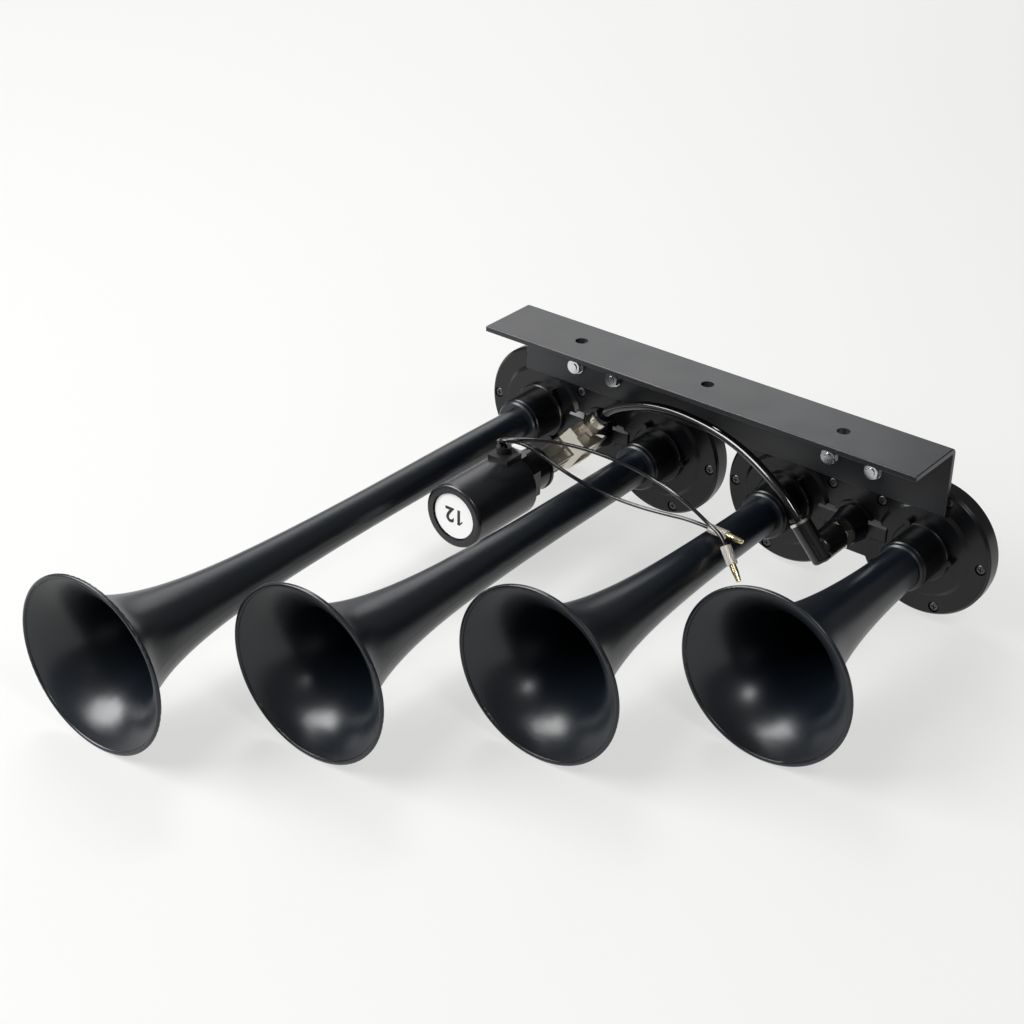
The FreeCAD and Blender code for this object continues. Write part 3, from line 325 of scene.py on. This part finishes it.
def printed_film(name, colour, roughness):
    """Vinyl film or the ink on it: an even colour with a faint calender grain."""
    material, shader = new_material(name, colour, roughness)
    place = add(material, "ShaderNodeTexCoord", {}, {})
    grain = add(material, "ShaderNodeTexNoise", {"Scale": 1 / film_grain, "Detail": 2.0},
                {"Vector": place.outputs["Object"]})
    relief = add(material, "ShaderNodeBump", {"Strength": 0.1, "Distance": film_grain_depth},
                 {"Height": grain.outputs["Fac"]})
    wire(material, shader, Normal=relief.outputs["Normal"])
    return material


def piece(name, data, body="horn"):
    """A finished piece that rides on its body."""
    obj = bpy.data.objects.new(name, data)
    bpy.context.scene.collection.objects.link(obj)
    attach(obj, body)
    return obj


white_film = printed_film("white vinyl film", "#F1F1F0", roughness=0.42)
dress(white_film, "coil_disc")

ink = printed_film("black printing ink", "#101012", roughness=0.4)
half_ink = 0.00003
figures = bpy.data.curves.new("label_figures", "FONT")
figures.body = "12"
figures.size = 0.0155
figures.align_x = "CENTER"
figures.align_y = "CENTER"
figures.extrude = half_ink
figures.offset = 0.0004
figures_object = bpy.data.objects.new("label_figures_text", figures)
bpy.context.scene.collection.objects.link(figures_object)
bpy.context.view_layer.update()
figures_mesh = bpy.data.meshes.new_from_object(figures_object)
bpy.data.objects.remove(figures_object)

flag_reach = 0.0020
flag_drop = 0.0024
flag_width = 0.0015
stem = 0.0006
print_form = bmesh.new()
print_form.from_mesh(figures_mesh)
one_left = min(vert.co.x for vert in print_form.verts)
one_top = max(vert.co.y for vert in print_form.verts if vert.co.x < one_left + stem)
flag = [(one_left + stem, one_top),
        (one_left - flag_reach, one_top - flag_drop),
        (one_left - flag_reach, one_top - flag_drop - flag_width),
        (one_left + stem, one_top - flag_width)]
back, front = [[print_form.verts.new((x, y, z)) for x, y in flag] for z in (-half_ink, half_ink)]
sides = [print_form.faces.new(front), print_form.faces.new(back)]
for i in range(len(flag)):
    sides.append(print_form.faces.new((back[i], back[i - 1], front[i - 1], front[i])))
bmesh.ops.recalc_face_normals(print_form, faces=sides)
print_form.to_mesh(figures_mesh)
print_form.free()

low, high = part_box("coil_disc")
label_centre = Vector(((low[0] + high[0]) / 2, low[1], (low[2] + high[2]) / 2))
middle_x, middle_y = [
    sum(end(vert.co[axis] for vert in figures_mesh.vertices) for end in (min, max)) / 2
    for axis in (0, 1)
]
for vert in figures_mesh.vertices:
    x, y, z = vert.co
    vert.co = label_centre + Vector((-(x - middle_x), -z - half_ink, -(y - middle_y)))
figures_mesh.materials.clear()
figures_mesh.materials.append(ink)
piece("label_figures", figures_mesh)


# Fittings
# The push-in fitting and the elbow's stud are brass bars, turned and nickel plated: brighter
# and a little warmer than the zinc. The elbow's band is nickel too. The cover beside the boot is
# tin, half metal in a nearly white colour that is partly a painted highlight.

nickel = rolled("nickel plated brass", "#D8D3C8", roughness=0.17,
                grain=0.0006, depth=0.00002)
dress(nickel, "fitting_body", "elbow_stud", "elbow_band")

# Painted highlight: the terminal cover is half metal in a nearly white colour, so it shows white
# as a lamp's reflection would make it, and its own tin colour is only part of that.
tin_cap_and_painted_highlight = rolled("tinned brass whitened as painted highlight", "#F2F1EE", roughness=0.36,
                    grain=0.0006, depth=0.00002, metallic=0.5)
dress(tin_cap_and_painted_highlight, "terminal_cover")


# Air tube
# Black quarter inch nylon tube. It is extruded, so it is smooth and shiny. It springs in a free
# arc from the push-in fitting on the valve to the elbow on the right pair.

def cord_curve(name, route, radius, material, node):
    """A round cord on a smooth spline through its route's control points."""
    curve = bpy.data.curves.new(name, "CURVE")
    curve.dimensions = "3D"
    spline = curve.splines.new("NURBS")
    spline.points.add(len(route) - 1)
    for point, place in zip(spline.points, route):
        point.co = (*place, 1.0)
    spline.order_u = 3
    spline.use_endpoint_u = True
    spline.resolution_u = 12
    curve.bevel_depth = radius
    curve.bevel_resolution = 7
    curve.use_fill_caps = True
    curve.materials.append(material)
    obj = piece(name, curve)
    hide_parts(node)
    return obj


air_tube_route = [
    (-0.09525, 0.0060, -0.06587), (-0.08573, 0.0060, -0.05228), (-0.0795, 0.0058, -0.0468),
    (-0.0670, 0.0048, -0.0400), (-0.0485, 0.0034, -0.0329), (-0.0260, 0.0012, -0.0292),
    (-0.0025, -0.0020, -0.0286), (0.0215, -0.0062, -0.0302), (0.0440, -0.0108, -0.0352),
    (0.0655, -0.0154, -0.0442), (0.08265, -0.0193, -0.05498), (0.09831, -0.0193, -0.07237),
]
air_tube_radius = 0.003175
tube_nylon = coated("extruded black nylon", "#0A0A0C", roughness=0.12,
                    peel=0.0012, depth=0.000003, gloss=0.8)
air_tube = cord_curve("air_tube_line", air_tube_route, air_tube_radius, tube_nylon,
                      "air_tube")


# Leads
# Two thin wires in black vinyl come out of the coil's grommet, cross, and end over the third
# trumpet. Soft vinyl is glossy and shows small dull patches from handling.

lead_a_route = [
    (-0.1086, -0.0828, -0.0542), (-0.1086, -0.0828, -0.0480), (-0.1074, -0.0896, -0.0436),
    (-0.1010, -0.0936, -0.0392), (-0.0931, -0.0910, -0.0380), (-0.0847, -0.0857, -0.0410),
    (-0.0745, -0.0805, -0.0479), (-0.0620, -0.0758, -0.0560), (-0.0468, -0.0714, -0.0628),
    (-0.0280, -0.0686, -0.0664), (-0.0060, -0.0670, -0.0671), (0.0165, -0.0659, -0.0654),
    (0.0341, -0.0656, -0.0628), (0.0495, -0.0646, -0.0639),
]
lead_b_route = [
    (-0.1054, -0.0828, -0.0542), (-0.1054, -0.0828, -0.0480), (-0.1047, -0.0873, -0.0436),
    (-0.1012, -0.0896, -0.0404), (-0.0942, -0.0880, -0.0384), (-0.0843, -0.0837, -0.0370),
    (-0.0715, -0.0757, -0.0373), (-0.0560, -0.0648, -0.0408), (-0.0395, -0.0542, -0.0470),
    (-0.0210, -0.0472, -0.0530), (-0.0020, -0.0462, -0.0570), (0.0187, -0.0523, -0.0587),
    (0.0380, -0.0621, -0.0579), (0.0530, -0.0705, -0.0579), (0.0641, -0.0735, -0.0596),
    (0.0695, -0.0761, -0.0648),
]
lead_radius = 0.0013
lead_vinyl = coated("extruded black vinyl", "#0B0B0D", roughness=0.16,
                    peel=0.0008, depth=0.000003, gloss=0.7)
lead_a = cord_curve("lead_a_line", lead_a_route, lead_radius, lead_vinyl, "lead_a")
lead_b = cord_curve("lead_b_line", lead_b_route, lead_radius, lead_vinyl, "lead_b")


# Terminals
# Each lead ends in a brass bullet terminal under an oval sleeve of soft clear vinyl. The vinyl
# is milky, and lets the brass and the black jacket show through.

ripple_width = 0.004
ripple_depth = 0.0002
clear_vinyl, shader = new_material("moulded clear vinyl", "#F6F4F2", roughness=0.18)
shader.inputs["Transmission Weight"].default_value = 0.72
shader.inputs["IOR"].default_value = 1.53
place = add(clear_vinyl, "ShaderNodeTexCoord", {}, {})
ripple = add(clear_vinyl, "ShaderNodeTexNoise", {"Scale": 1 / ripple_width, "Detail": 2.0},
             {"Vector": place.outputs["Object"]})
relief = add(clear_vinyl, "ShaderNodeBump", {"Strength": 0.25, "Distance": ripple_depth},
             {"Height": ripple.outputs["Fac"]})
wire(clear_vinyl, shader, Normal=relief.outputs["Normal"])
dress(clear_vinyl, "sleeve_a", "sleeve_b")

brass = rolled("stamped brass", "#E0D3A6", roughness=0.22,
               grain=0.0005, depth=0.00002)
dress(brass, "bullet_a", "bullet_b")
